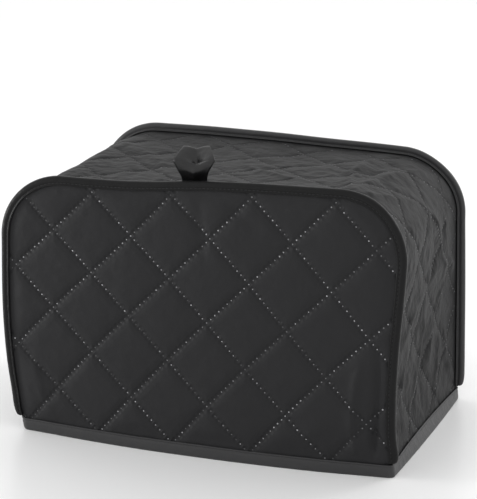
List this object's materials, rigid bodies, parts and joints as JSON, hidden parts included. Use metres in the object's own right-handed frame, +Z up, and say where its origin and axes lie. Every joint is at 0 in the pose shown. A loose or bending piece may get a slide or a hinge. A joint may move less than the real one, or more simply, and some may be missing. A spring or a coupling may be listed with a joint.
{
  "type": "toaster cover",
  "caption": "Soft quilted cloth cover for a toaster: a box form with round top corners, open below, with bound outward seams, a bound hem and a ribbon loop on the front seam.",
  "frame": {"origin": "middle of the box around the cover, on the surface that its hem stands on", "axes": "+X along the width, to the right of someone facing the front; the front panel, with the ribbon loop above it, faces -Y; +Z up"},
  "size_m": [0.3124, 0.2025, 0.2226],
  "materials": {
    "quilted_cloth": "smooth black woven polyester, welded in a dotted diamond quilting",
    "tape": "black folded binding tape, satin",
    "ribbon": "black ribbon, satin"
  },
  "bodies": {
    "root": {"front_panel": "quilted_cloth", "back_panel": "quilted_cloth", "gusset": "quilted_cloth", "front_binding": "tape", "back_binding": "tape", "hem_binding": "tape", "loop_handle": "ribbon"}
  },
  "joints": []
}
